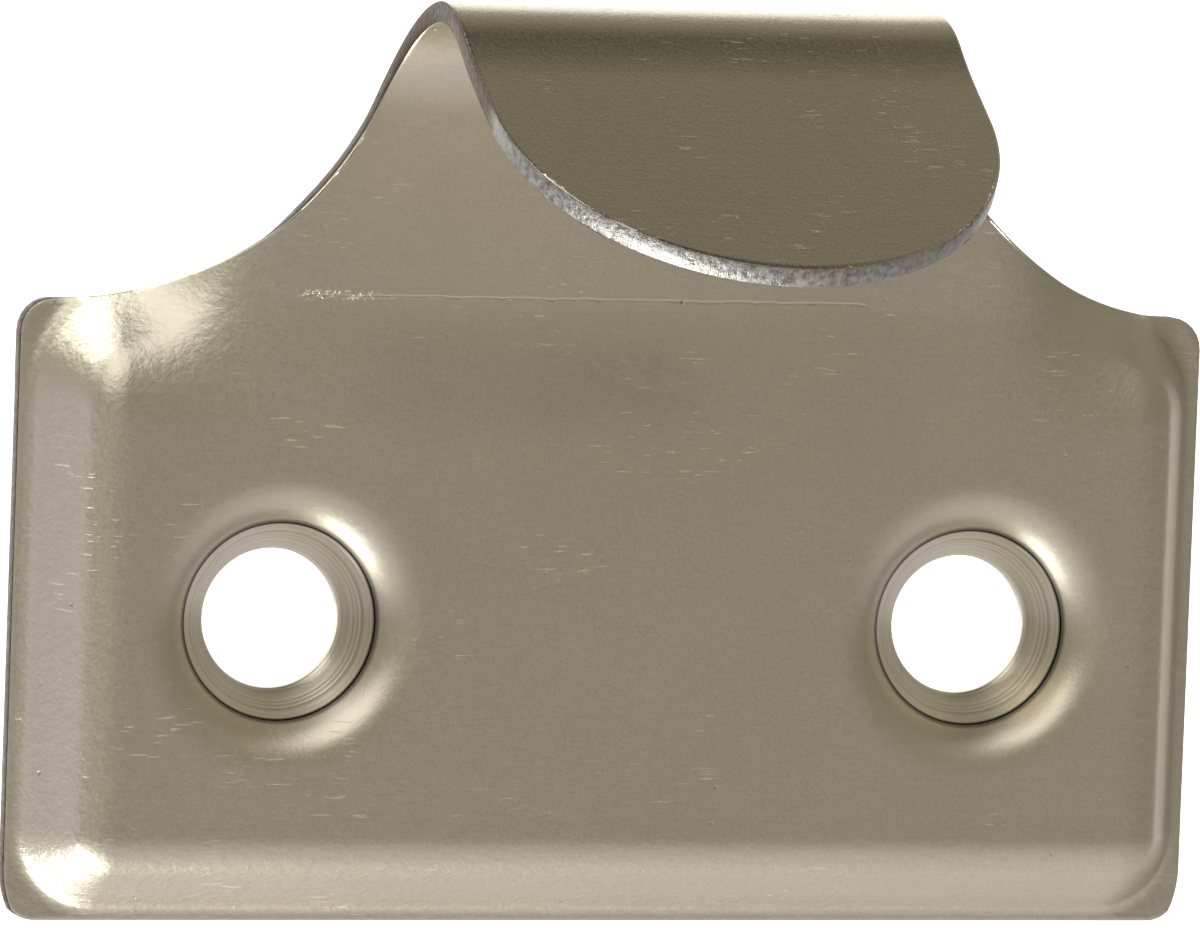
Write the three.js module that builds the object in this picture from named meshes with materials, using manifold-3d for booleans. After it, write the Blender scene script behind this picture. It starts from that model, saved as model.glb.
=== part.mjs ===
// A finger-hook sash lift: one pressed sheet of steel, millimetres, +Z up, front facing -Y.
// Flat blank, dished to leave a flat rim, dimpled and countersunk twice, neck curled over into a hook.
// The origin lies in the plane of the rim's back, midway between the two screw holes.
import * as THREE from "three";
import { mergeVertices } from "three/addons/utils/BufferGeometryUtils.js";
import Module from "manifold-3d";

// ---------------------------------------------------------------- driving dimensions
const sheet = 0.9; // thickness of the steel

const plateWidth = 50.8; // two inches across
const plateHeight = 25.4; // one inch from the bottom edge to the shoulders
const plateCorner = 1.35; // radius of the four corners
const rimLand = 0.5; // flat border that rests on the sash
const bevelRun = 3.8; // from the plate's edge to the raised face
const dishDepth = 3.5; // how far the face stands in front of the rim

const holeSpacing = 29.6;
const holeHeight = 12.55; // hole centres above the bottom edge
const holeRadius = 2.86; // clearance for a No. 8 wood screw
const headRadius = 4.07; // mouth of the machined countersink
const coneDepth = 1.45; // mouth to hole, a cone of about 80 degrees
const dimpleDepth = 1.05; // how far the mouth is pressed below the face
const dimpleRadius = 5.9; // where the pressed dimple leaves the face
const funnelFloor = 2; // radius of the flat bottom of the dimple, which the hole removes
const funnelSlope = 0.7; // how steeply the dimple deepens inside the countersink's mouth

const sweepRadius = 14.3; // the arcs from the shoulders up to the neck
const sweepCentre = 24.8; // their centres, from the middle
const tongueHalf = 10.4; // half-width of the tongue where its round end begins
const runOutStart = 26.6; // the bevel starts to run out up the sweeps at this developed height,
const runOutEnd = 33.5; // and the whole neck stands level with the face from here

const bendHeight = 25.0; // the neck starts to lean forward here
const bendRadius = 20;
const neckLean = THREE.MathUtils.degToRad(3);
const neckStraight = 7.3;
const hookRadius = 4.2; // inside radius over the top of the hook
const tongueSlope = THREE.MathUtils.degToRad(120.8); // turned from straight up to down and forward
const tongueStraight = 16.6; // from the end of the curl to the tip
const tipLength = 10.9; // the rounded end of the tongue

// ---------------------------------------------------------------- the flat blank
const halfWidth = plateWidth / 2;
const bendLength = bendRadius * neckLean;
const curlLength = hookRadius * (tongueSlope - neckLean);
const curlStart = bendHeight + bendLength + neckStraight;
const blankLength = curlStart + curlLength + tongueStraight;
const tipStart = blankLength - tipLength;
const sweepTop = plateHeight + sweepRadius; // where the sweeps have become the neck's straight sides
const neckHalf = sweepCentre - sweepRadius;
const bluntTip = 0.985; // the last row stops just short of the tip's end, so that it keeps a width

const roundOff = (q) => Math.sqrt(Math.max(0, 1 - q * q)); // quarter of an ellipse
const smooth = (q) => {
  const c = THREE.MathUtils.clamp(q, 0, 1);
  return c * c * (3 - 2 * c);
};

// Half the blank's width at a developed height s above the bottom edge.
function outline(s) {
  const straightEdge = halfWidth - plateCorner;
  if (s < plateCorner) return straightEdge + plateCorner * roundOff(1 - s / plateCorner);
  if (s < plateHeight - plateCorner) return halfWidth;
  if (s <= plateHeight) return straightEdge + plateCorner * roundOff(1 - (plateHeight - s) / plateCorner);
  if (s < sweepTop) {
    const sweep = sweepCentre - sweepRadius * roundOff((sweepTop - s) / sweepRadius);
    return Math.min(straightEdge, sweep);
  }
  if (s < tipStart) return THREE.MathUtils.mapLinear(s, sweepTop, tipStart, neckHalf, tongueHalf);
  return tongueHalf * roundOff((s - tipStart) / tipLength);
}

// Developed heights of the rows: [end of the stretch, rows in it, spacing curve].
const even = (q) => q;
const crowdStart = (q) => 1 - Math.cos((q * Math.PI) / 2);
const crowdEnd = (q) => Math.sin((q * Math.PI) / 2);
const alongArc = (q) => {
  const full = Math.acos((sweepTop - curlStart) / sweepRadius);
  return (1 - Math.cos(q * full)) / (1 - Math.cos(full));
};
const stretches = [
  [plateCorner, 3, crowdStart],
  [bevelRun, 3, even],
  [plateHeight - bevelRun, 12, even],
  [plateHeight - plateCorner, 3, even],
  [plateHeight, 3, crowdEnd],
  [curlStart, 13, alongArc],
  [curlStart + curlLength, 11, even],
  [tipStart, 3, even],
  [tipStart + tipLength * bluntTip, 9, crowdEnd],
];
const rows = [0];
for (const [end, count, spacing] of stretches) {
  const start = rows[rows.length - 1];
  for (let i = 1; i <= count; i += 1) rows.push(start + (end - start) * spacing(i / count));
}

// Distances of the columns from the plate's side: close together over the bevels and the dimples.
const faceHalf = halfWidth - bevelRun;
const dimpleColumns = [1, 2, 3, 4, 5, 6, 7, 8, 9].map((i) => bevelRun + (i * faceHalf) / 15);
const fromSide = [0, rimLand, 1.3, 2.1, 2.95, bevelRun, ...dimpleColumns, 19.6, 22.5];
const rightColumns = fromSide.map((d) => 1 - d / halfWidth);
const plateColumns = [...rightColumns.map((u) => -u), 0, ...[...rightColumns].reverse()];

// Up the neck the columns spread out, so that they are evenly spaced across the hook.
function columnAt(index, s) {
  const spread = smooth((s - runOutStart) / (curlStart - runOutStart));
  const evenly = (2 * index) / (plateColumns.length - 1) - 1;
  return THREE.MathUtils.lerp(plateColumns[index], evenly, spread);
}

// ---------------------------------------------------------------- pressing
// How far the dish has risen at x, s: nothing on the rim's land, 1 on the face. The bevel follows the
// sides, the bottom, the shoulders and the sweeps, and runs out up the sweeps into the flat neck.
function dishRise(x, s) {
  const out = Math.abs(x);
  const ramp = (d) => smooth((d - rimLand) / (bevelRun - rimLand));
  const fromArc = Math.hypot(sweepCentre - Math.min(out, sweepCentre), sweepTop - s) - sweepRadius;
  const fromSweep = s < sweepTop ? fromArc : bevelRun;
  const bevelled = ramp(halfWidth - out) * ramp(s) * ramp(fromSweep);
  const runOut = smooth((s - runOutStart) / (runOutEnd - runOutStart));
  return THREE.MathUtils.lerp(bevelled, 1, runOut);
}

// How deep the sheet is dimpled round a screw hole: a soft slope down to the mouth of the countersink,
// then a funnel that leaves metal for the machined cone.
function dimple(x, s) {
  const r = Math.hypot(Math.abs(x) - holeSpacing / 2, s - holeHeight);
  const slope = 1 - smooth((r - headRadius) / (dimpleRadius - headRadius));
  return dimpleDepth * slope + funnelSlope * Math.max(0, headRadius - Math.max(r, funnelFloor));
}

// The front of the sheet at a developed height s, as y, z and the angle turned from straight up.
function neckLine(s) {
  let y = -sheet - dishDepth;
  let z = 0;
  let angle = 0;
  const steps = [
    [bendHeight, 0],
    [bendLength, 1 / bendRadius],
    [neckStraight, 0],
    [curlLength, 1 / hookRadius],
    [tongueStraight, 0],
  ];
  let left = s;
  for (const [length, curvature] of steps) {
    const run = Math.min(left, length);
    const turned = angle + run * curvature;
    if (curvature === 0) {
      y -= Math.sin(angle) * run;
      z += Math.cos(angle) * run;
    } else {
      y += (Math.cos(turned) - Math.cos(angle)) / curvature;
      z += (Math.sin(turned) - Math.sin(angle)) / curvature;
    }
    angle = turned;
    left -= run;
  }
  return { y, z, angle };
}

// Moves one point of the flat blank to its place on the pressing. depth runs from 0, front, to 1, back.
function press(x, s, depth) {
  const { y, z, angle } = neckLine(s);
  const sunk = dishDepth * (1 - dishRise(x, s)) + dimple(x, s);
  const thick = depth * sheet;
  return new THREE.Vector3(x, y + sunk + thick * Math.cos(angle), z + thick * Math.sin(angle) - holeHeight);
}

// A box of sheet, one cell thick, whose grid is cut to the outline and then pressed.
function pressedSheet() {
  const across = plateColumns.length - 1;
  const along = rows.length - 1;
  const geometry = new THREE.BoxGeometry(across, 1, along, across, 1, along);
  const points = geometry.attributes.position;
  for (let i = 0; i < points.count; i += 1) {
    const column = Math.round(points.getX(i) + across / 2);
    const row = Math.round(points.getZ(i) + along / 2);
    const depth = points.getY(i) + 0.5;
    const s = rows[row];
    const placed = press(columnAt(column, s) * outline(s), s, depth);
    points.setXYZ(i, placed.x, placed.y, placed.z);
  }
  return geometry;
}

// ---------------------------------------------------------------- countersinks
// The cutter: the screw hole and the cone above it, turned about the hole's axis.
function countersink() {
  const mouth = -sheet - dishDepth + dimpleDepth;
  const throat = mouth + coneDepth;
  const reach = 2 * coneDepth; // the cone goes on past its mouth, clear of the dimple
  const wide = headRadius + ((headRadius - holeRadius) / coneDepth) * reach;
  const profile = [
    [0, mouth - reach],
    [wide, mouth - reach],
    [holeRadius, throat],
    [holeRadius, sheet],
    [0, sheet],
  ];
  const points = profile.map(([r, y]) => new THREE.Vector2(r, y));
  return new THREE.LatheGeometry(points, 48);
}

// ---------------------------------------------------------------- cutting
const wasm = await Module();
wasm.setup();

function toSolid(geometry) {
  const bare = geometry.clone();
  bare.deleteAttribute("normal");
  bare.deleteAttribute("uv");
  const merged = mergeVertices(bare, 1e-5);
  return new wasm.Manifold(new wasm.Mesh({
    numProp: 3,
    vertProperties: new Float32Array(merged.attributes.position.array),
    triVerts: new Uint32Array(merged.index.array),
  }));
}

function toGeometry(solid) {
  const { vertProperties, triVerts } = solid.getMesh();
  const geometry = new THREE.BufferGeometry();
  geometry.setAttribute("position", new THREE.BufferAttribute(vertProperties, 3));
  geometry.setIndex(new THREE.BufferAttribute(triVerts, 1));
  geometry.computeVertexNormals();
  return geometry;
}

let pressing = toSolid(pressedSheet());
for (const side of [-1, 1]) {
  const cutter = countersink().translate((side * holeSpacing) / 2, 0, 0);
  pressing = pressing.subtract(toSolid(cutter));
}

const satinNickel = new THREE.MeshStandardMaterial({ color: "#8f8975", roughness: 0.38, metalness: 1 });
const lift = new THREE.Mesh(toGeometry(pressing), satinNickel);
lift.name = "sash_lift_plate";

const group = new THREE.Group();
group.add(lift);

export default group;
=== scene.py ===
# %% [markdown]
# # A hook sash lift
# This is the small metal hook that is screwed to the bottom rail of a sliding sash window, to lift it by.
# The real one is a single pressing: a blank is cut from steel sheet, its plate is dished so that only a
# narrow rim touches the wood, two screw holes are dimpled and countersunk, and the neck is curled forward
# into a hook for the fingers. The pressing is then plated with nickel and given a satin finish.
# The lesson makes it in the order of the workshop: blank, press, thickness, countersinks, finish.

# %% Load the frame
import math

import bmesh
import bpy
import numpy as np
from mathutils import Matrix, Vector, kdtree


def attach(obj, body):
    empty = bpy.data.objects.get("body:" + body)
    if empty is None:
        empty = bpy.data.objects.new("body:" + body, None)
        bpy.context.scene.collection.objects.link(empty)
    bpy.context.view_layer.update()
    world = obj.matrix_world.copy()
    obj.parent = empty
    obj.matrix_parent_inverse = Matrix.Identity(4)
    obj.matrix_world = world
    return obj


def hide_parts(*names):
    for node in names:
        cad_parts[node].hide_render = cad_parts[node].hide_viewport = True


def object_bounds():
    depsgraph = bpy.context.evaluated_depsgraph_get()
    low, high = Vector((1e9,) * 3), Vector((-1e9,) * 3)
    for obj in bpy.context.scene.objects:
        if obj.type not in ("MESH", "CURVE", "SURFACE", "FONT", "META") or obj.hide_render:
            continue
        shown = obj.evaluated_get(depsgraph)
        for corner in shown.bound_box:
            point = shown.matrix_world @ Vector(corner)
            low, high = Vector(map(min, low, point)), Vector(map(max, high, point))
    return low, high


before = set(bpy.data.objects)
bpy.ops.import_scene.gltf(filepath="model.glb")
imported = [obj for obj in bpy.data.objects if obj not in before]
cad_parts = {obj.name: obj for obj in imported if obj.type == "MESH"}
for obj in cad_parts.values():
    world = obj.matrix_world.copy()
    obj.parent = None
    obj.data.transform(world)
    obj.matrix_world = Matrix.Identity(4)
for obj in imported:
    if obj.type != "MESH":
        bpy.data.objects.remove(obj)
cad_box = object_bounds()
print("CAD box, mm:", [[round(1000 * c, 2) for c in corner] for corner in cad_box])

# %% [markdown]
# ## Sizes
# The sizes are in millimetres, and nearly all are those of the CAD model. The neck's straight is 0.1 shorter
# and the rim's land narrower than there, to come closer to the real lift. Two directions matter on the flat
# blank: *across*, from the middle to either side, and *along*, from the bottom edge up the plate and on over
# the hook to the tip. The mesh is built in millimetres and made metres at the end.

# %% Sizes of the blank
SHEET = 0.9  # thickness of the steel
PLATE_HALF = 25.4
PLATE_TALL = 25.4
CORNER = 1.35
SWEEP_RADIUS = 14.3  # the arcs from the shoulders up to the neck
SWEEP_ACROSS = 24.8
SWEEP_ALONG = PLATE_TALL + SWEEP_RADIUS
NECK_HALF = SWEEP_ACROSS - SWEEP_RADIUS
TONGUE_HALF = 10.4

BEND_START = 25.0  # the neck leans forward from here
BEND_RADIUS = 20.0
NECK_LEAN = math.radians(3)
NECK_STRAIGHT = 7.2
HOOK_RADIUS = 4.2
TONGUE_SLOPE = math.radians(120.8)
OVER_BEND = math.radians(8)  # the curl goes this much too far and the tongue comes back
BACK_RADIUS = 20.0
TONGUE_STRAIGHT = 16.6
TIP = 10.9  # length of the rounded end

BEND = BEND_RADIUS * NECK_LEAN
CURL = HOOK_RADIUS * (TONGUE_SLOPE - NECK_LEAN)
CURL_START = BEND_START + BEND + NECK_STRAIGHT
OVER = HOOK_RADIUS * OVER_BEND
BACK = BACK_RADIUS * OVER_BEND
BLANK_LONG = CURL_START + CURL + TONGUE_STRAIGHT
TIP_START = BLANK_LONG - TIP
print("developed length of the blank, mm:", round(BLANK_LONG, 2))

# %% [markdown]
# ## The outline of the blank
# The blanking tool cuts the outline before anything is bent. One side of it is a corner, a straight side, a
# corner, a long sweep up to the neck and a straight up to the round tip. It could be a curve object, but a
# chain of arcs in an array is easier to measure along: `numpy.interp` finds the point at any distance round
# it, which spaces the mesh evenly.

# %% One side, from the lower corner to the start of the tip
HALF_TURN = 180
LOWER_CORNER_POINTS = 20
SHOULDER_POINTS = 40
SWEEP_POINTS = 300


def arc(centre_across, centre_along, radius, first, last, points):
    turn = np.radians(np.linspace(first, last, points))
    return np.column_stack([centre_across + radius * np.cos(turn), centre_along + radius * np.sin(turn)])


inner = PLATE_HALF - CORNER
sweep_begins = HALF_TURN + math.degrees(math.acos((SWEEP_ACROSS - inner) / SWEEP_RADIUS))
side = np.vstack([
    arc(inner, CORNER, CORNER, -45, 0, LOWER_CORNER_POINTS),
    arc(inner, PLATE_TALL - CORNER, CORNER, 0, 90, SHOULDER_POINTS),
    arc(SWEEP_ACROSS, SWEEP_ALONG, SWEEP_RADIUS, sweep_begins, HALF_TURN, SWEEP_POINTS),
    [[TONGUE_HALF, TIP_START]],
])
walked = np.concatenate([[0], np.cumsum(np.hypot(*np.diff(side, axis=0).T))])
print("length of one side, mm:", round(walked[-1], 2))


def on_side(distance):
    return np.interp(distance, walked, side[:, 0]), np.interp(distance, walked, side[:, 1])


# %% [markdown]
# ## Columns and rows
# The sheet starts as one grid primitive, because a grid bends without pinching and is easy to thicken. Its
# columns crowd together near the sides, where the dish bends sharply, and they are even on the neck. Its
# rows start at even distances round the side.

# %% Columns and rows
FINE = 20  # columns or rows over the bevel
FINE_SPAN = 4.4
COARSE = 56  # from the bevel to the middle
ROWS = 148  # from the bottom bevel to the tip
TIP_ROWS = 30

from_side = np.concatenate([
    np.linspace(0, FINE_SPAN, FINE, endpoint=False),
    np.linspace(FINE_SPAN, PLATE_HALF, COARSE + 1),
])
right = 1 - from_side / PLATE_HALF
columns = np.concatenate([-right, right[::-1][1:]])
even_columns = np.linspace(-1, 1, len(columns))
distances = np.concatenate([
    np.linspace(0, FINE_SPAN, FINE, endpoint=False),
    np.linspace(FINE_SPAN, walked[-1], ROWS + 1),
])
LAST_COLUMN = len(columns) - 1
TIP_ROW = len(distances) - 1
LAST_ROW = TIP_ROW + TIP_ROWS
print("grid:", LAST_COLUMN, "by", LAST_ROW)

# %% [markdown]
# ## Laying the grid over the blank
# A row that stayed straight would meet the shoulder at a very flat angle and make slivers, so the rows dip
# towards the middle of the plate. At the tip the square end of the grid is turned into half an ellipse.

# %% Where a grid point lies on the blank
DIP_POWER = 8  # how late, towards the side, a row turns up to meet it
ROW_STARTS = [0, FINE_SPAN, 21, 28, 47.6, walked[-1]]  # distances round the side, and the heights
ROW_MIDDLES = [0, 4.3, 19.9, 22.6, SWEEP_ALONG, TIP_START]  # at which those rows cross the middle


def smooth(value):
    held = min(max(value, 0), 1)
    return held * held * (3 - 2 * held)


def lerp(a, b, share):
    return a + (b - a) * share


def tip_point(out, up):
    """A point of the square from -1 to 1 and 0 to 1, moved into the half ellipse of the tip."""
    return TONGUE_HALF * out * math.sqrt(1 - up * up / 2), TIP_START + TIP * up * math.sqrt(1 - out * out / 2)


def blank_point(column, row):
    """Across and along of one grid point, before the holes are made round."""
    if row > TIP_ROW:
        return tip_point(even_columns[column], (row - TIP_ROW) / TIP_ROWS)
    distance = distances[row]
    edge_across, edge_along = on_side(distance)
    spread = smooth((edge_along - PLATE_TALL) / (SWEEP_ALONG - PLATE_TALL))
    out = lerp(columns[column], even_columns[column], spread)
    near_side = abs(out) ** DIP_POWER
    along = lerp(np.interp(distance, ROW_STARTS, ROW_MIDDLES), edge_along, near_side)
    across = out * edge_across
    past = max(0, abs(across) - inner)  # round the lower corners
    bottom = CORNER - math.sqrt(max(0, CORNER * CORNER - past * past))
    bent = lerp(0, side[0, 1], near_side)
    return across, along + (bottom - bent) * (1 - smooth(row / FINE))


print("tip of the blank, mm along:", round(blank_point(LAST_COLUMN // 2, LAST_ROW)[1], 2))

# %% [markdown]
# ## Rings round the screw holes
# A drilled hole in a square grid has a stepped edge. Here the squares round each screw hole are turned into
# rings instead, so that the hole, the countersink and the dimple all get clean round edges, and no boolean
# is needed. The rings fade back into squares further out.

# %% Rings round the screw holes
HOLE_ACROSS = 14.8
HOLE_ALONG = 12.55
HOLE_RADIUS = 2.86
HEAD_RADIUS = 4.07
DIMPLE_RADIUS = 5.9
HOLE_RINGS = 8  # grid steps from the hole's middle to its edge
HEAD_RINGS = 12
ROUND_RINGS = 16  # quite round out to here
LAST_RING = 26  # and square again from here
MOUTH_STEP = 0.07  # a narrow ring just outside the countersink keeps its mouth crisp
LAST_RING_RADIUS = 8.3

mid_column = LAST_COLUMN * 3 // 4
middle_row = int(np.argmin([abs(blank_point(mid_column, r)[1] - HOLE_ALONG) for r in range(TIP_ROW)]))
hole_columns = [int(np.argmin(abs(columns * PLATE_HALF - x))) for x in (-HOLE_ACROSS, HOLE_ACROSS)]
print("screw holes at columns", hole_columns, "and row", middle_row)


def ring_of(column, row):
    """Ring number, angle and side of the nearest screw hole, for one grid point."""
    nearest = min((0, 1), key=lambda k: abs(column - hole_columns[k]))
    a, b = column - hole_columns[nearest], row - middle_row
    ring = max(abs(a), abs(b))
    if ring == 0:
        return 0, 0, nearest
    if abs(a) >= abs(b):
        angle = (0 if a > 0 else math.pi) + b / a * math.pi / 4
    else:
        angle = (1 if b > 0 else -1) * math.pi / 2 - a / b * math.pi / 4
    return ring, angle, nearest


def with_holes(column, row):
    across, along = blank_point(column, row)
    ring, angle, nearest = ring_of(column, row)
    if ring >= LAST_RING:
        return across, along
    radius = np.interp(
        ring,
        [0, HOLE_RINGS, HEAD_RINGS, HEAD_RINGS + 1, LAST_RING],
        [0, HOLE_RADIUS, HEAD_RADIUS, HEAD_RADIUS + MOUTH_STEP, LAST_RING_RADIUS],
    )
    share = 1 - smooth((ring - ROUND_RINGS) / (LAST_RING - ROUND_RINGS))
    centre = (-HOLE_ACROSS, HOLE_ACROSS)[nearest]
    return (
        lerp(across, centre + radius * math.cos(angle), share),
        lerp(along, HOLE_ALONG + radius * math.sin(angle), share),
    )


# %% [markdown]
# ## The flat blank
# `create_grid` makes the sheet, and each point moves to its place on the blank. Two layers on the points
# remember that place after the sheet is bent: *blank* holds across, along and the distance in from the cut
# edge, and *skin* holds the side of the sheet and the distance from the screw hole. The finishes read them,
# so that brush marks and burrs follow the steel round its bends.

# %% The flat blank, with its two holes
sheet_mesh = bmesh.new()
bmesh.ops.create_grid(sheet_mesh, x_segments=LAST_COLUMN, y_segments=LAST_ROW, size=1)
blank = sheet_mesh.verts.layers.float_vector.new("blank")  # across, along, distance in from the cut edge
skin = sheet_mesh.verts.layers.float_vector.new("skin")  # 1 on the back skin, distance from the hole's middle
in_hole = []
for vert in sheet_mesh.verts:
    column = round((vert.co.x + 1) / 2 * LAST_COLUMN)
    row = round((vert.co.y + 1) / 2 * LAST_ROW)
    across, along = with_holes(column, row)
    vert[blank] = (across, along, 0)
    vert.co = (across, along, 0)
    if ring_of(column, row)[0] < HOLE_RINGS:
        in_hole.append(vert)
bmesh.ops.delete(sheet_mesh, geom=in_hole, context="VERTS")
print("blank:", len(sheet_mesh.verts), "points,", len(sheet_mesh.faces), "squares")

# %% [markdown]
# ## Distances on the blank
# A k-d tree finds the nearest of many points quickly. It is filled with points along the open edges, and
# gives each point of the sheet its distance to the cut.

# %% Distance to the cut edge and to the screw hole
QUARTERS = (0.25, 0.5, 0.75)

rim = [e for e in sheet_mesh.edges if e.is_boundary]
edge_points = [v.co.copy() for e in rim for v in e.verts]
edge_points += [e.verts[0].co.lerp(e.verts[1].co, quarter) for e in rim for quarter in QUARTERS]
edge_tree = kdtree.KDTree(len(edge_points))
for number, point in enumerate(edge_points):
    edge_tree.insert(point, number)
edge_tree.balance()
for vert in sheet_mesh.verts:
    vert[blank].z = edge_tree.find(vert.co)[2]
    from_hole = math.hypot(abs(vert.co.x) - HOLE_ACROSS, vert.co.y - HOLE_ALONG)
    vert[skin] = (0, from_hole, 0)
print("deepest point inside the edges, mm:", round(max(v[blank].z for v in sheet_mesh.verts), 2))

# %% [markdown]
# ## The bevel round the dish
# The real plate is dished so that only its rim touches the wood. The press tool is written as a function
# from the flat blank to the finished shape, which could as well be a chain of modifiers, but a function
# keeps every radius exact. The bevel is a small foot radius, a straight slope and a larger head radius.

# %% The section of the bevel
RIM_LAND = 0.15  # flat border that rests on the wood
BEVEL_RUN = 3.8
DISH_DEPTH = 3.5
FOOT_RADIUS = 0.6
HEAD_BEND = 2.0

slope_run = BEVEL_RUN - RIM_LAND
bends = FOOT_RADIUS + HEAD_BEND
slope_line = math.sqrt(slope_run ** 2 + (DISH_DEPTH - bends) ** 2 - bends ** 2)
slope = math.atan2(DISH_DEPTH - bends, slope_run) + math.atan2(bends, slope_line)
print("slope of the bevel, degrees:", round(math.degrees(slope), 1))


def bevel_height(inset):
    """Height of the sheet over the rim, this far in from the edge."""
    d = inset - RIM_LAND
    foot = FOOT_RADIUS * math.sin(slope)
    if d <= 0:
        return 0
    if d < foot:
        return FOOT_RADIUS - math.sqrt(FOOT_RADIUS ** 2 - d * d)
    if d < slope_run - HEAD_BEND * math.sin(slope):
        return FOOT_RADIUS * (1 - math.cos(slope)) + (d - foot) * math.tan(slope)
    if d < slope_run:
        return DISH_DEPTH - HEAD_BEND + math.sqrt(HEAD_BEND ** 2 - (slope_run - d) ** 2)
    return DISH_DEPTH


# %% [markdown]
# ## Corners and flanks
# At a corner two bevels meet in a quarter cone, which is what the root of the summed squares gives. At the
# shoulders there is a bevel too. Towards the neck it gets broader and shallower until it has faded out,
# which leaves the broad soft flanks under the sweeps.

# %% The dish
FLANK_FOOT = 19.2  # near the neck the flank leaves the face at this height, and is whole at the next
FLANK_TOP = 29.0
SHOULDER_FOOT = 21.4  # the same two heights at the shoulder
SHOULDER_TOP = 26.4
FLANK_OUTER = 24.6  # across: the flank starts to fade here, and is gone at the next
FLANK_INNER = 14.4
FLANK_CURVE = 2.2  # it fades late
FLANK_EASE = 1.3  # and meets the neck gently


def dish_height(across, along):
    out = abs(across)
    lower = max(1 - along / BEVEL_RUN, 0)
    outer = min(max(1 - (PLATE_HALF - out) / BEVEL_RUN, 0), 1)
    climb = min(max((FLANK_OUTER - out) / (FLANK_OUTER - FLANK_INNER), 0), 1) ** FLANK_CURVE
    rise = 1 - (1 - climb) ** FLANK_EASE
    corner_share = smooth((out - FLANK_INNER) / (PLATE_HALF - FLANK_INNER))
    foot = lerp(FLANK_FOOT, SHOULDER_FOOT, corner_share)
    top = lerp(FLANK_TOP, SHOULDER_TOP, corner_share)
    upper = min(max((along - foot) / (top - foot), 0), 1) * (1 - rise)
    inset = 1 - math.sqrt(lower ** 2 + outer ** 2 + upper ** 2)
    return bevel_height(BEVEL_RUN * inset)


print("height of the face over the rim, mm:", dish_height(0, HOLE_ALONG))

# %% [markdown]
# ## The dimples
# A dimpling punch pushes the sheet back round each screw hole, so that the screw's head ends up level with
# the face. The slope steepens towards the mouth of the countersink and goes on a little inside it.

# %% The dimples
DIMPLE_DEPTH = 1.05
DIMPLE_CURVE = 2.2
FUNNEL_SLOPE = 0.7


def dimple(from_hole):
    rise = min(max((DIMPLE_RADIUS - from_hole) / (DIMPLE_RADIUS - HEAD_RADIUS), 0), 1)
    return DIMPLE_DEPTH * rise ** DIMPLE_CURVE + FUNNEL_SLOPE * max(0, HEAD_RADIUS - from_hole)


print("depth of the dimple at the mouth, mm:", dimple(HEAD_RADIUS))

# %% [markdown]
# ## The hook
# The neck leans forward a little and is curled over a former. A curl springs back when it is let go, so it
# is bent a few degrees too far and the tongue then comes back in a long easy curve. Seen from the side the
# sheet is a chain of straights and arcs, walked from the bottom edge up.

# %% The line of the neck and the hook
NECK_STEPS = (  # length of each stretch, and its radius, or 0 for a straight
    (BEND_START, 0),
    (BEND, BEND_RADIUS),
    (NECK_STRAIGHT, 0),
    (CURL + OVER, HOOK_RADIUS),
    (BACK, -BACK_RADIUS),
    (TONGUE_STRAIGHT - OVER - BACK, 0),
)


def neck_line(along):
    """The sheet's front, seen from the side: y, z and the angle turned from straight up."""
    y, z, angle, left = -SHEET - DISH_DEPTH, -HOLE_ALONG, 0, along
    for length, radius in NECK_STEPS:
        run = min(left, length)
        if radius:
            turned = angle + run / radius
            y += radius * (math.cos(turned) - math.cos(angle))
            z += radius * (math.sin(turned) - math.sin(angle))
            angle = turned
        else:
            y -= math.sin(angle) * run
            z += math.cos(angle) * run
        left -= run
    return y, z, angle


print("the tongue reaches out to y, mm:", round(neck_line(BLANK_LONG)[0], 2))

# %% [markdown]
# ## Pressing
# Every point of the blank now goes to its place on the pressing. The ends of the curl spring outwards a
# little, because nothing holds the sheet beyond them.

# %% Pressing the blank
FLARE = 0.06  # how far the ends of the curl spring outwards
FLARE_CURVE = 6  # and how near to the ends


def pressed(across, along, from_hole):
    y, z, angle = neck_line(along)
    y += DISH_DEPTH - dish_height(across, along) + dimple(from_hole)
    over_curl = math.sin(math.pi * min(max((along - CURL_START) / CURL, 0), 1))
    flare = FLARE * over_curl * (abs(across) / NECK_HALF) ** FLARE_CURVE
    return Vector((across, y + flare * math.cos(angle), z + flare * math.sin(angle)))


for vert in sheet_mesh.verts:
    vert.co = pressed(vert[blank].x, vert[blank].y, vert[skin].y)
sheet_mesh.normal_update()
print("top of the hook, mm:", round(max(v.co.z for v in sheet_mesh.verts), 2))

# %% [markdown]
# ## The back skin
# The front skin is extruded to make the back skin, and each new point goes back along its normal by the
# sheet's thickness, so the steel is as thick on the bevels as on the face. A Solidify modifier would do the
# same, but it can't leave the metal fuller round the holes, where the points go straight back.

# %% The back skin
DIMPLE_FULLER = 0.3  # extra thickness behind the cones, as a share of the sheet

normals = {}
for number, vert in enumerate(sheet_mesh.verts):
    normals[number] = vert.normal.copy()
    vert[skin].z = number
fronts = list(sheet_mesh.verts)
grown = bmesh.ops.extrude_face_region(sheet_mesh, geom=sheet_mesh.faces[:], use_keep_orig=True)
backs = [item for item in grown["geom"] if isinstance(item, bmesh.types.BMVert)]
for vert in backs:
    from_hole = vert[skin].y
    normal = normals[round(vert[skin].z)]
    if from_hole < DIMPLE_RADIUS:
        rise = min(1, (DIMPLE_RADIUS - from_hole) / (DIMPLE_RADIUS - HEAD_RADIUS))
        vert.co.y += SHEET * (1 + DIMPLE_FULLER * rise)
    else:
        vert.co -= SHEET * normal
    vert[skin] = (1, from_hole, 0)
for vert in fronts:
    vert[skin].z = 0
print("with its back skin:", len(sheet_mesh.verts), "points")

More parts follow.
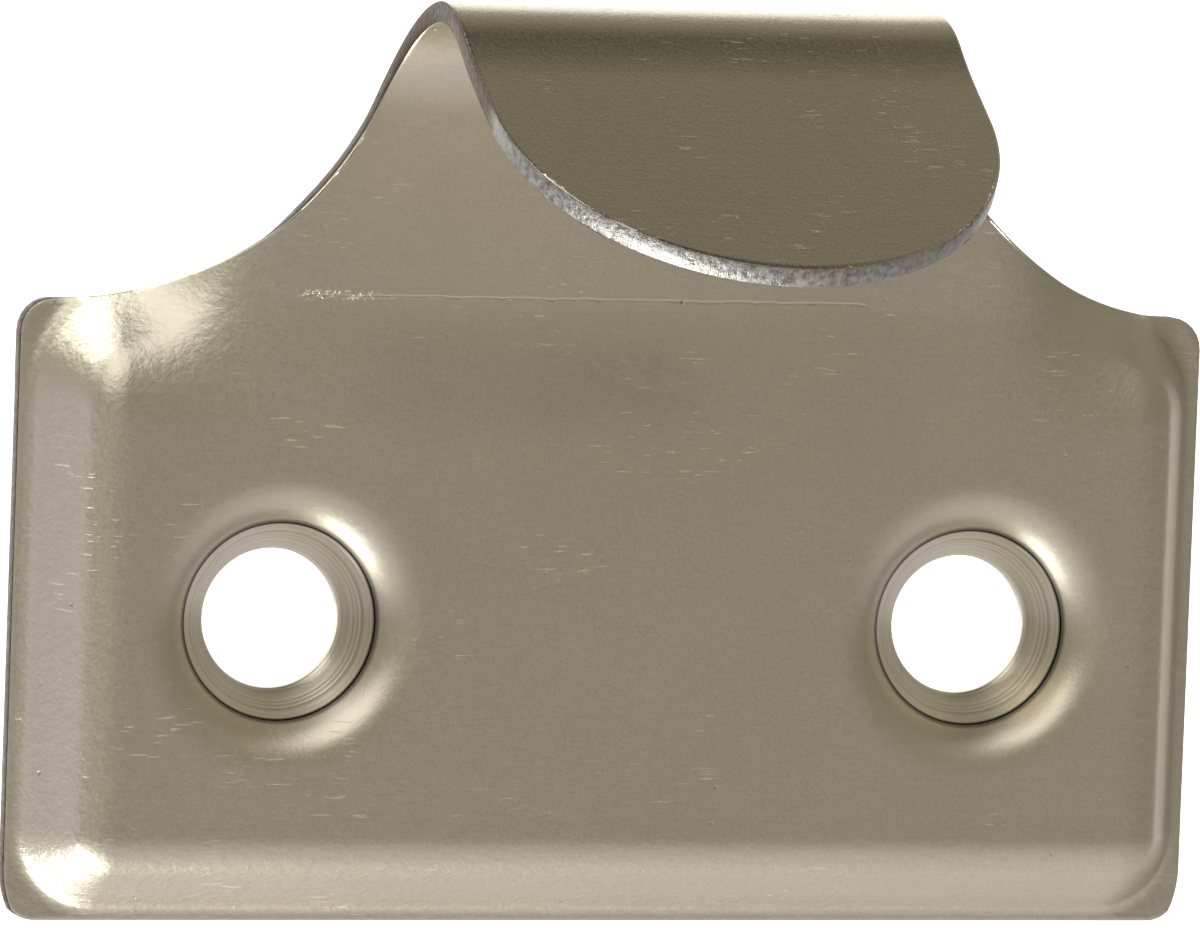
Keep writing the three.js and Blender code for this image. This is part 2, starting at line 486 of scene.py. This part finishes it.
# %% [markdown]
# ## The countersinks
# After the pressing a countersinking drill cuts the cone that the screw's head sits in. The points inside
# the mouth move onto that cone. Then all faces are turned to point outwards.

# %% The countersinks
CONE_DEPTH = 1.45

for vert in fronts:
    from_hole = vert[skin].y
    if from_hole < HEAD_RADIUS:
        depth = DIMPLE_DEPTH + (HEAD_RADIUS - from_hole) * CONE_DEPTH / (HEAD_RADIUS - HOLE_RADIUS)
        vert.co.y = -SHEET - DISH_DEPTH + depth
bmesh.ops.recalc_face_normals(sheet_mesh, faces=sheet_mesh.faces[:])
sheet_mesh.normal_update()
print("volume of the pressing, mm3:", round(sheet_mesh.calc_volume(signed=True), 1))

# %% [markdown]
# ## Which finish goes where
# Three finishes show on a lift like this: the satin plated skins, the bright machined cones and the rough
# sheared edges. Each face gets one of the three by where it is. A face whose points lie on both skins is a
# wall: the wall of a screw hole is machined, and the wall round the sheet is sheared.

# %% Which faces are which
SATIN, MACHINED, SHEARED = 0, 1, 2
BACK_SKIN = 0.5  # the skin layer is above this on the back
HAIR = 0.01

for face in sheet_mesh.faces:
    face.smooth = True
    sides = {v[skin].x > BACK_SKIN for v in face.verts}
    furthest = max(v[skin].y for v in face.verts)
    if len(sides) == 2:
        face.material_index = MACHINED if furthest < HOLE_RADIUS + HAIR else SHEARED
    elif sides == {False} and furthest < HEAD_RADIUS + HAIR:
        face.material_index = MACHINED
kinds = [face.material_index for face in sheet_mesh.faces]
print("satin, machined and sheared faces:", [kinds.count(kind) for kind in (SATIN, MACHINED, SHEARED)])

# %% [markdown]
# ## Broken edges
# No real edge is perfectly sharp, and a broken edge catches a thin line of light. The corners between the
# skins and the walls are bevelled by about a tenth of a millimetre. Where the cutter left a crisp corner, the edge
# is marked sharp so that the shading doesn't run over it.

# %% Broken edges
EDGE_BREAK = 0.09
CRISP = math.radians(25)

corners = [
    e for e in sheet_mesh.edges
    if len(e.link_faces) == 2
    and len({len({v[skin].x > BACK_SKIN for v in f.verts}) for f in e.link_faces}) == 2
]
bmesh.ops.bevel(
    sheet_mesh, geom=corners, offset=EDGE_BREAK, offset_type="OFFSET", segments=2,
    profile=0.5, affect="EDGES", material=-1,
)
for edge in sheet_mesh.edges:
    kinds = {f.material_index for f in edge.link_faces}
    if kinds == {SATIN, MACHINED} or (len(kinds) == 2 and edge.calc_face_angle(0) > CRISP):
        edge.smooth = False
print("corners broken:", len(corners))

# %% [markdown]
# ## The object
# The mesh was built in millimetres and is made metres here. The object itself stays at the origin, unturned
# and unscaled, with its place in its mesh.

# %% The pressed lift
MM = 0.001

bmesh.ops.transform(sheet_mesh, matrix=Matrix.Scale(MM, 4), verts=sheet_mesh.verts)
mesh = bpy.data.meshes.new("pressed_sash_lift")
sheet_mesh.to_mesh(mesh)
sheet_mesh.free()
lift = bpy.data.objects.new("pressed_sash_lift", mesh)
bpy.context.scene.collection.objects.link(lift)
print("lift:", len(mesh.polygons), "faces,", sum(len(p.vertices) - 2 for p in mesh.polygons), "triangles")

# %% [markdown]
# ## Colours and nodes
# Colours are written as sRGB hex values and turned into the linear values that the shader wants. One small
# function adds a node: it takes the node's inputs as numbers, or as nodes and sockets to link.

# %% Helpers for colours and nodes
def linear(hex_colour):
    channels = [int(hex_colour[i:i + 2], 16) / 255 for i in (1, 3, 5)]
    return (*[c / 12.92 if c <= 0.04045 else ((c + 0.055) / 1.055) ** 2.4 for c in channels], 1)


def add(tree, kind, inputs=(), **settings):
    """Adds a node, with its settings, and its inputs as values or as nodes or sockets to link."""
    node = tree.nodes.new(kind)
    for key, value in settings.items():
        setattr(node, key, value)
    for socket, value in dict(inputs).items():
        if isinstance(value, bpy.types.Node):
            value = value.outputs[0]
        if isinstance(value, bpy.types.NodeSocket):
            tree.links.new(value, node.inputs[socket])
        else:
            node.inputs[socket].default_value = value
    return node


def metal(name, colour):
    material = bpy.data.materials.new(name)
    material.use_nodes = True
    shader = material.node_tree.nodes["Principled BSDF"]
    shader.inputs["Base Color"].default_value = linear(colour)
    shader.inputs["Metallic"].default_value = 1
    return material, material.node_tree, shader


print("one grey in linear light:", [round(c, 3) for c in linear("#808080")])

# %% [markdown]
# ## Small patterns
# The finishes are made of a few patterns that recur: a sum of patterns, each times a weight, which with one
# pattern is a plain product, a window that is 1 between two places with soft ends, and a colour that gets
# lighter and darker with a shade. The bumps are given in millimetres.

# %% Sums, windows, shades and bumps
def weighted_sum(tree, start, parts):
    """The start plus each pattern times its weight, where a weight may be a pattern too."""
    total = start
    for pattern, weight in parts:
        total = add(tree, "ShaderNodeMath", {0: pattern, 1: weight, 2: total}, operation="MULTIPLY_ADD")
    return total


def window(tree, value, low, high, soft):
    """1 between low and high, 0 outside, with soft ends."""
    rising = add(tree, "ShaderNodeMapRange", {"Value": value, "From Min": low - soft, "From Max": low})
    falling = add(tree, "ShaderNodeMapRange", {
        "Value": value, "From Min": high, "From Max": high + soft, "To Min": 1.0, "To Max": 0.0,
    })
    return weighted_sum(tree, 0.0, [(rising, falling)])


def tint(tree, shader, colour, shade, low, high):
    """Gives the shader a colour times a shade that runs from low to high."""
    grey = weighted_sum(tree, low, [(shade, high - low)])
    mixed = add(tree, "ShaderNodeVectorMath", {0: linear(colour)[:3], "Scale": grey}, operation="SCALE")
    tree.links.new(mixed.outputs[0], shader.inputs["Base Color"])


def raise_bumps(tree, shader, relief):
    bump = add(tree, "ShaderNodeBump", {"Height": relief, "Strength": 1.0, "Distance": MM})
    tree.links.new(bump.outputs[0], shader.inputs["Normal"])


# %% [markdown]
# ## Satin nickel
# Nickel plate over steel that was rubbed with a fine abrasive belt: a warm grey metal with a soft sheen. The
# belt's marks run across the sheet, so their pattern is stretched on the *blank* layer, which follows the
# steel. The grain is drawn on Object coordinates in millimetres, as it is the same all over.

# %% Satin nickel: where things are
satin, tree, shader = metal("satin_nickel_plate", "#cbc4b1")
place = add(tree, "ShaderNodeAttribute", attribute_name="blank").outputs["Vector"]
x_mm, s_mm, _ = add(tree, "ShaderNodeSeparateXYZ", {0: place}).outputs
skin_place = add(tree, "ShaderNodeAttribute", attribute_name="skin").outputs["Vector"]
behind, hole_mm, _ = add(tree, "ShaderNodeSeparateXYZ", {0: skin_place}).outputs
object_mm = add(tree, "ShaderNodeMapping", {
    "Vector": add(tree, "ShaderNodeTexCoord").outputs["Object"], "Scale": (1 / MM, 1 / MM, 1 / MM),
})
out_mm = add(tree, "ShaderNodeMath", {0: x_mm}, operation="ABSOLUTE")
print("places that the finish can read:", satin.name, len(tree.nodes), "nodes")

# %% [markdown]
# ## The noises of the satin finish
# Each noise gets its scale as features per millimetre. Belt marks are really 20 or more to the millimetre.
# That is too fine to show, so they are drawn at nine. Along its own direction a mark is a few millimetres
# long.

# %% Satin nickel: noises
NOISE_ROUGHNESS = 0.55
noises = {
    # stretch of the blank, or None for the grain of the metal; features per mm; detail; roughness
    "belt": ((0.35, 9.0, 1.0), 1.0, 2.0, NOISE_ROUGHNESS),
    "grain": (None, 7.0, 2.0, NOISE_ROUGHNESS),
    "peel": (None, 2.6, 3.0, 0.6),
    "cloud": (None, 0.13, 2.0, NOISE_ROUGHNESS),
    "crease wobble": ((0.6, 0.0, 0.0), 1.0, 3.0, NOISE_ROUGHNESS),
    "crease strength": ((1.2, 0.0, 0.0), 1.0, 3.0, NOISE_ROUGHNESS),
    "burr": ((1.0, 1.0, 1.0), 5.0, 2.0, NOISE_ROUGHNESS),
    "patch": ((1.0, 1.0, 1.0), 0.22, 1.0, NOISE_ROUGHNESS),
    "dust": ((1.0, 1.0, 1.0), 0.8, 3.0, NOISE_ROUGHNESS),
}
pattern = {}
for name, (stretch, per_mm, detail, roughness) in noises.items():
    vector = object_mm
    if stretch:
        vector = add(tree, "ShaderNodeMapping", {"Vector": place, "Scale": stretch})
    pattern[name] = add(tree, "ShaderNodeTexNoise", {
        "Vector": vector, "Scale": per_mm, "Detail": detail, "Roughness": roughness,
    })
print("noises:", ", ".join(pattern))

# %% [markdown]
# ## Noise made into marks
# A noise stays near its middle value, so a Map Range node spreads the part that is wanted from 0 to 1. The
# same node turns a place into a zone: 0 on one side, 1 on the other.

# %% Satin nickel: spread noises and zones
spreads = {
    # what is spread, where it is 0, where it is 1
    "belt": (pattern["belt"], 0.3, 0.7),
    "grain": (pattern["grain"], 0.3, 0.7),
    "cloud": (pattern["cloud"], 0.3, 0.7),
    "burr": (pattern["burr"], 0.52, 0.62),
    "patch": (pattern["patch"], 0.5, 0.62),
    "dust": (pattern["dust"], 0.5, 0.55),
    "side bevel": (out_mm, 20.6, 22.2),
    "lower bevel": (s_mm, 4.6, 3.2),
    "flank across": (out_mm, 13.8, 17.0),
    "flank along": (s_mm, 20.0, 22.5),
    # a thin ring of painted shadow just outside the mouth of each countersink
    "painted mouth shadow": (hole_mm, HEAD_RADIUS + 0.16, HEAD_RADIUS + 0.05),
}
spread = {
    name: add(tree, "ShaderNodeMapRange", {"Value": value, "From Min": nothing, "From Max": full})
    for name, (value, nothing, full) in spreads.items()
}
print("zones and marks:", ", ".join(spread))

# %% [markdown]
# ## Orange peel on the worked steel
# Where the press stretched the steel over the bevels and the flanks, its grain stands out as a fine orange
# peel. The zones are joined with a Maximum, so that they don't add up where they overlap.

# %% Satin nickel: worked steel
worked = weighted_sum(tree, 0.0, [(spread["flank across"], spread["flank along"])])
for zone in ("side bevel", "lower bevel"):
    worked = add(tree, "ShaderNodeMath", {0: worked, 1: spread[zone]}, operation="MAXIMUM")
peel = weighted_sum(tree, 0.0, [(pattern["peel"], worked)])
print("nodes so far:", len(tree.nodes))

# %% [markdown]
# ## The crease
# The bending tool bit into the sheet along the line where the neck leans forward. It left a fine crease,
# a twentieth of a millimetre wide, which wobbles a little, and burrs where it starts.

# %% Satin nickel: crease and burrs
CREASE = (25.90, 25.95, 0.06)  # from, to and softness, along
CREASE_ACROSS = (-14.0, 9.0, 0.5)
BURRS = (25.84, 26.08, 0.10)
BURRS_ACROSS = (-14.3, -11.8, 0.6)
WOBBLE = 0.12

wobble = add(tree, "ShaderNodeMapRange", {
    "Value": pattern["crease wobble"], "To Min": -WOBBLE, "To Max": WOBBLE,
})
crease_height = add(tree, "ShaderNodeMath", {0: s_mm, 1: wobble}, operation="ADD")
strength = add(tree, "ShaderNodeMapRange", {
    "Value": pattern["crease strength"], "From Min": 0.35, "From Max": 0.6, "To Min": 0.35,
})
crease = weighted_sum(tree, 0.0, [(window(tree, crease_height, *CREASE), window(tree, x_mm, *CREASE_ACROSS))])
crease = weighted_sum(tree, 0.0, [(crease, strength)])
burr = weighted_sum(tree, 0.0, [(window(tree, crease_height, *BURRS), window(tree, x_mm, *BURRS_ACROSS))])
burr = weighted_sum(tree, 0.0, [(burr, spread["burr"])])
print("crease from", CREASE_ACROSS[0], "to", CREASE_ACROSS[1], "mm across")

# %% [markdown]
# ## Wear, and painted shade
# Handling leaves short scratches in a few directions, and specks of dirt. A scratch is the peak of a
# noise that is stretched a dozen times longer one way. A speck is the middle of a Voronoi cell. Both come in
# patches. Below the crease a broad patch of painted shade darkens the metal.

# %% Satin nickel: scratches, specks and the painted shade below the crease
SCRATCHES = (  # turn, stretch and the level above which the noise is a scratch
    (0.5, (0.9, 12.0, 1.0), 0.79),
    (-0.9, (0.7, 13.0, 1.0), 0.79),
    (1.5, (0.8, 11.0, 1.0), 0.795),
)
SCRATCH_SOFTNESS = 0.03
SPECK_CELLS = 0.55  # per millimetre
SPECK = (0.035, 0.06)  # its inner and outer radius, as a share of a cell
# the patch of painted shade below the crease
BELOW_CREASE_SHADE = (21.8, 23.6, 2.0)  # from, to and softness, along
BELOW_CREASE_SHADE_ACROSS = (-9.0, 0.5, 5.0)

scratches = 0.0
for turn, stretch, level in SCRATCHES:
    vector = add(tree, "ShaderNodeMapping", {"Vector": place, "Scale": stretch, "Rotation": (0, 0, turn)})
    fine = add(tree, "ShaderNodeTexNoise", {
        "Vector": vector, "Scale": 1.0, "Detail": 0.0, "Roughness": NOISE_ROUGHNESS,
    })
    line = add(tree, "ShaderNodeMapRange", {
        "Value": fine, "From Min": level, "From Max": level + SCRATCH_SOFTNESS,
    })
    scratches = add(tree, "ShaderNodeMath", {0: scratches, 1: line}, operation="MAXIMUM")
scratches = weighted_sum(tree, 0.0, [(scratches, spread["patch"])])
cells = add(tree, "ShaderNodeTexVoronoi", {"Vector": object_mm, "Scale": SPECK_CELLS, "Randomness": 1.0})
speck = add(tree, "ShaderNodeMapRange", {
    "Value": cells, "From Min": SPECK[0], "From Max": SPECK[1], "To Min": 1.0, "To Max": 0.0,
})
speck = weighted_sum(tree, 0.0, [(speck, spread["dust"])])
below_crease_shade = weighted_sum(tree, 0.0, [(window(tree, s_mm, *BELOW_CREASE_SHADE), window(tree, x_mm, *BELOW_CREASE_SHADE_ACROSS))])
print("directions of scratches:", len(SCRATCHES))

# %% [markdown]
# ## The satin colour
# The nickel is warm and light. The patterns make it a few per cent lighter and darker. The belt's
# streaks are plainer on the back, which isn't finished as finely. Painted shade darkens the crease, a patch
# below it and a thin ring outside each countersink's mouth, and on the back the metal behind the cones.

# %% Satin nickel: colour
STREAKS = (0.22, 0.5)  # how plain the belt's streaks are, on the front and on the back
NICKEL = "#cbc4b1"
NICKEL_TINT = (0.90, 1.06)

streak_strength = add(tree, "ShaderNodeMapRange", {
    "Value": behind, "To Min": STREAKS[0], "To Max": STREAKS[1],
})
shade = weighted_sum(tree, 0.0, [
    (spread["belt"], streak_strength),
    (spread["cloud"], 0.25),
    (spread["grain"], 0.50),
    # painted shade in the crease
    (crease, -1.6),
    # painted shade below the crease
    (below_crease_shade, -0.55),
    (speck, -1.5),
    (burr, 3.0),
    # painted shadow round each mouth, which on the back also darkens the metal behind the cones
    (spread["painted mouth shadow"], -4.0),
    (scratches, 0.9),
])
tint(tree, shader, NICKEL, shade, *NICKEL_TINT)
print("colour of the nickel, linear:", [round(c, 3) for c in linear(NICKEL)])

# %% [markdown]
# ## The satin sheen
# Roughness sets how far a reflection spreads. A satin plate is about a third of the way to matt. The back is
# a little glossier, as it was less rubbed, and a scratch or the crease spreads the light more.

# %% Satin nickel: roughness and bumps
SHEEN = (0.34, 0.41)

sheen = add(tree, "ShaderNodeMapRange", {
    "Value": pattern["grain"], "From Min": 0.3, "From Max": 0.7, "To Min": SHEEN[0], "To Max": SHEEN[1],
})
sheen = weighted_sum(tree, sheen, [(behind, -0.10), (scratches, 0.2), (crease, 0.2)])
tree.links.new(sheen.outputs[0], shader.inputs["Roughness"])
relief = weighted_sum(tree, 0.0, [  # heights in millimetres
    (pattern["belt"], 0.0016),
    (pattern["grain"], 0.007),
    (peel, 0.03),
    (crease, -0.03),
    (burr, 0.03),
    (scratches, 0.004),
    (speck, -0.02),
])
raise_bumps(tree, shader, relief)
print("satin nickel:", len(tree.nodes), "nodes")

# %% [markdown]
# ## Turned countersinks
# The drill leaves fine rings on the cones, about an eighth of a millimetre apart, with bare bright metal
# between them. The rings are a noise that only looks at the distance from the hole's middle. A thin line of
# painted shadow darkens the cone just inside the mouth, under its edge.

# %% Turned countersinks
RINGS_PER_MM = 8.0
WANDER = 0.05  # mm, so that the rings aren't perfect
MOUTH_SHADOW = (0.12, 0.04)  # mm inside the mouth
CONE_TINT = (0.45, 1.65)
CONE_SHEEN = (0.26, 0.42)
RING_HEIGHT = 0.018  # mm

machined, tree, shader = metal("turned_countersink", "#d2ccbc")
skin_place = add(tree, "ShaderNodeAttribute", attribute_name="skin").outputs["Vector"]
reach = add(tree, "ShaderNodeSeparateXYZ", {0: skin_place}).outputs["Y"]
# a thin painted shadow just inside the mouth, under its edge
painted_mouth_shadow = add(tree, "ShaderNodeMapRange", {
    "Value": reach, "From Min": HEAD_RADIUS - MOUTH_SHADOW[0], "From Max": HEAD_RADIUS - MOUTH_SHADOW[1],
})
wander = add(tree, "ShaderNodeTexNoise", {
    "Vector": add(tree, "ShaderNodeAttribute", attribute_name="blank").outputs["Vector"],
    "Scale": 0.5, "Detail": 1.0, "Roughness": NOISE_ROUGHNESS,
})
rings_at = weighted_sum(tree, reach, [(wander, WANDER)])
rings = add(tree, "ShaderNodeTexNoise", {
    "Vector": add(tree, "ShaderNodeCombineXYZ", {"X": weighted_sum(tree, 0.0, [(rings_at, RINGS_PER_MM)])}),
    "Scale": 1.0, "Detail": 3.0, "Roughness": NOISE_ROUGHNESS,
})
tint(tree, shader, "#d2ccbc", weighted_sum(tree, rings, [(painted_mouth_shadow, -0.9)]), *CONE_TINT)
cone_sheen = add(tree, "ShaderNodeMapRange", {
    "Value": rings, "From Min": 0.3, "From Max": 0.7, "To Min": CONE_SHEEN[0], "To Max": CONE_SHEEN[1],
})
tree.links.new(cone_sheen.outputs[0], shader.inputs["Roughness"])
raise_bumps(tree, shader, weighted_sum(tree, 0.0, [(rings, RING_HEIGHT)]))
print("turned countersink:", len(tree.nodes), "nodes")

# %% [markdown]
# ## Sheared edges
# The blanking tool shears the sheet and tears it, which leaves a coarse mottle. Round the tip of the tongue
# the torn steel is clean and bright. Elsewhere it has darkened to a dull brown. The change is ragged,
# because the mottle shifts it.

# %% Sheared edges
MOTTLE_PER_MM = 3.4
TEARS_PER_MM = (6.0, 1.2, 1.2)  # the tears run through the thickness
CLEAN_FROM = (48.0, 49.0)  # along: dull below, clean above
RAGGED = 1.5
DULL_STEEL, CLEAN_STEEL = "#c9a878", "#dcd9d2"

sheared, tree, shader = metal("sheared_steel_edge", CLEAN_STEEL)
object_mm = add(tree, "ShaderNodeMapping", {
    "Vector": add(tree, "ShaderNodeTexCoord").outputs["Object"], "Scale": (1 / MM, 1 / MM, 1 / MM),
})
mottle = add(tree, "ShaderNodeTexNoise", {
    "Vector": object_mm, "Scale": MOTTLE_PER_MM, "Detail": 4.0, "Roughness": 0.65,
})
tears = add(tree, "ShaderNodeTexNoise", {
    "Vector": add(tree, "ShaderNodeMapping", {"Vector": object_mm, "Scale": TEARS_PER_MM}),
    "Scale": 1.0, "Detail": 3.0, "Roughness": NOISE_ROUGHNESS,
})
edge_place = add(tree, "ShaderNodeAttribute", attribute_name="blank").outputs["Vector"]
edge_along = add(tree, "ShaderNodeSeparateXYZ", {0: edge_place}).outputs["Y"]
clean = add(tree, "ShaderNodeMapRange", {
    "Value": weighted_sum(tree, edge_along, [(mottle, RAGGED)]),
    "From Min": CLEAN_FROM[0], "From Max": CLEAN_FROM[1],
})
dull_level, clean_level, edge_gloss = [
    add(tree, "ShaderNodeMapRange", {
        "Value": mottle, "From Min": low, "From Max": high, "To Min": least, "To Max": most,
    })
    for low, high, least, most in ((0.35, 0.65, 0.04, 0.17), (0.35, 0.65, 0.27, 0.56), (0.3, 0.7, 0.28, 0.55))
]
brightness = add(tree, "ShaderNodeMapRange", {"Value": clean, "To Min": dull_level, "To Max": clean_level})
steel = add(tree, "ShaderNodeMix", {0: clean, 6: linear(DULL_STEEL), 7: linear(CLEAN_STEEL)}, data_type="RGBA")
lit = add(tree, "ShaderNodeVectorMath", {0: steel.outputs[2], "Scale": brightness}, operation="SCALE")
tree.links.new(lit.outputs[0], shader.inputs["Base Color"])
tree.links.new(edge_gloss.outputs[0], shader.inputs["Roughness"])
raise_bumps(tree, shader, weighted_sum(tree, 0.0, [(mottle, 0.05), (tears, 0.03)]))

for material in (satin, machined, sheared):  # in the order of SATIN, MACHINED, SHEARED
    mesh.materials.append(material)
print("finishes on the lift:", [material.name for material in mesh.materials])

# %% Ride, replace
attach(lift, "root")
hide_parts("sash_lift_plate")
print("the lift rides on root and replaces sash_lift_plate")

# %% [markdown]
# ## The floor and the light panel
# Metal shows what stands round it, so the surroundings matter as much as the lamps. A pale floor lies well
# below the lift, and an upright white panel stands behind it: it is the clean background, and the bevels and
# the top of the hook mirror it. The panel glows by itself, and the floor only a little.

# %% Floor and light panel
FLOOR_DROP = 0.3
FLOOR_SIZE = (14, 14)
FLOOR_GLOW = 0.06
PANEL_BACK = 1.3
PANEL_TOP = 1.05
PANEL_WIDTH = 2.9
PANEL_GLOW = 1.1
PAPER_ROUGHNESS = 0.9


def stage_plane(name, size, matrix, colour, glow):
    plane = bmesh.new()
    bmesh.ops.create_grid(plane, x_segments=1, y_segments=1, size=0.5)
    bmesh.ops.transform(plane, matrix=matrix @ Matrix.Diagonal((*size, 1, 1)), verts=plane.verts)
    data = bpy.data.meshes.new(name)
    plane.to_mesh(data)
    plane.free()
    piece = bpy.data.objects.new(name, data)
    bpy.context.scene.collection.objects.link(piece)
    paper = bpy.data.materials.new(name + "_paper")
    paper.use_nodes = True
    shader = paper.node_tree.nodes["Principled BSDF"]
    shader.inputs["Base Color"].default_value = linear(colour)
    shader.inputs["Roughness"].default_value = PAPER_ROUGHNESS
    shader.inputs["Emission Color"].default_value = linear(colour)
    shader.inputs["Emission Strength"].default_value = glow
    data.materials.append(paper)


floor_height = cad_box[0].z - FLOOR_DROP
stage_plane("floor", FLOOR_SIZE, Matrix.Translation((0, 0, floor_height)), "#eeebf2", FLOOR_GLOW)
panel_middle = Vector((0, PANEL_BACK, (PANEL_TOP + floor_height) / 2))
upright_turn = Matrix.Rotation(math.radians(90), 4, "X")
stage_plane(
    "light_panel", (PANEL_WIDTH, PANEL_TOP - floor_height),
    Matrix.Translation(panel_middle) @ upright_turn, "#ffffff", PANEL_GLOW,
)
print("floor at z, mm:", round(floor_height / MM, 1))

# %% [markdown]
# ## The room
# The world stands for a plain room: warm grey walls and a dark ceiling, a little brighter on the left. The
# colour is a ramp over the height of the direction, so that the curl of the hook shades off towards its top.
# The Standard view keeps the panel pure white.

# %% Room light
WALLS = [(0.5, "#9d998f"), (0.60, "#9b978c"), (0.82, "#a8a395"), (0.93, "#928d7e"), (0.985, "#191713")]
BRIGHT_LEFT, DIM_RIGHT = 1.22, 0.94

world = bpy.data.worlds.new("studio")
bpy.context.scene.world = world
world.use_nodes = True
room = world.node_tree
background = room.nodes["Background"]
split = add(room, "ShaderNodeSeparateXYZ", {0: add(room, "ShaderNodeTexCoord").outputs["Generated"]})
height = add(room, "ShaderNodeMapRange", {"Value": split.outputs["Z"], "From Min": -1.0, "From Max": 1.0})
ramp = add(room, "ShaderNodeValToRGB", {"Fac": height})
while len(ramp.color_ramp.elements) < len(WALLS):
    ramp.color_ramp.elements.new(1)
for element, (position, colour) in zip(ramp.color_ramp.elements, WALLS):
    element.position = position
    element.color = linear(colour)
sideways = add(room, "ShaderNodeMapRange", {
    "Value": split.outputs["X"], "From Min": -1.0, "From Max": 1.0,
    "To Min": BRIGHT_LEFT, "To Max": DIM_RIGHT,
})
room.links.new(ramp.outputs["Color"], background.inputs["Color"])
room.links.new(sideways.outputs["Result"], background.inputs["Strength"])
bpy.context.scene.view_settings.view_transform = "Standard"
print("room:", len(WALLS), "stops from floor to ceiling")

# %% [markdown]
# ## The lamps
# Four soft lamps stand where the bevels, the dimples and the corners mirror them: a key at the upper front, a
# cool one at the left, and two narrow strips for the bright corners. Each is placed by the direction in
# which it stands, from the middle of the lift.

# %% Lamps
def softbox(name, direction, distance, width, length, power, colour):
    light = bpy.data.lights.new(name, "AREA")
    light.shape = "RECTANGLE"
    light.size, light.size_y = width, length
    light.energy = power
    light.color = linear(colour)[:3]
    lamp = bpy.data.objects.new(name, light)
    lamp.location = middle + Vector(direction).normalized() * distance
    lamp.rotation_euler = Vector(direction).to_track_quat("Z", "Y").to_euler()
    bpy.context.scene.collection.objects.link(lamp)


middle = (cad_box[0] + cad_box[1]) / 2
softbox("strip_upper_left", (-0.57, 0.08, 0.78), 0.95, 0.20, 0.6, 3.0, "#ffffff")
softbox("softbox_key", (-0.32, -0.60, 0.74), 1.1, 1.0, 1.0, 4.6, "#fbfaff")
softbox("softbox_left", (-0.98, 0.1, -0.08), 1.1, 0.5, 0.6, 0.45, "#d3dcff")
softbox("strip_lower_left", (-0.47, 0.0, -0.82), 0.26, 0.05, 0.20, 0.75, "#ffffff")

# %% [markdown]
# ## The camera
# A long lens from near by keeps the sides of the plate almost parallel. The camera stands a little to the
# left and above, and is rolled by two degrees. Its axes are written straight into its matrix.

# %% Camera
AZIMUTH, ELEVATION, ROLL_ANGLE = math.radians(17), math.radians(4.5), math.radians(2.13)
DISTANCE = 0.45
AIM = Vector((-0.000405, 0, 0.006275))
FOCAL = 327.05  # mm
SENSOR = 36  # mm wide
NEAREST = 0.01

towards = Vector((
    -math.sin(AZIMUTH) * math.cos(ELEVATION),
    -math.cos(AZIMUTH) * math.cos(ELEVATION),
    math.sin(ELEVATION),
))
level = Vector((math.cos(AZIMUTH), -math.sin(AZIMUTH), 0))
upright = towards.cross(level)
right_axis = math.cos(ROLL_ANGLE) * level + math.sin(ROLL_ANGLE) * upright
axes = Matrix((right_axis, towards.cross(right_axis), towards)).transposed().to_4x4()
camera_data = bpy.data.cameras.new("camera")
camera_data.lens = FOCAL
camera_data.sensor_width = SENSOR
camera_data.clip_start = NEAREST
camera = bpy.data.objects.new("camera", camera_data)
camera.matrix_world = Matrix.Translation(towards * DISTANCE + AIM) @ axes
bpy.context.scene.collection.objects.link(camera)
bpy.context.scene.camera = camera
print("camera at, m:", [round(c, 3) for c in camera.matrix_world.translation])
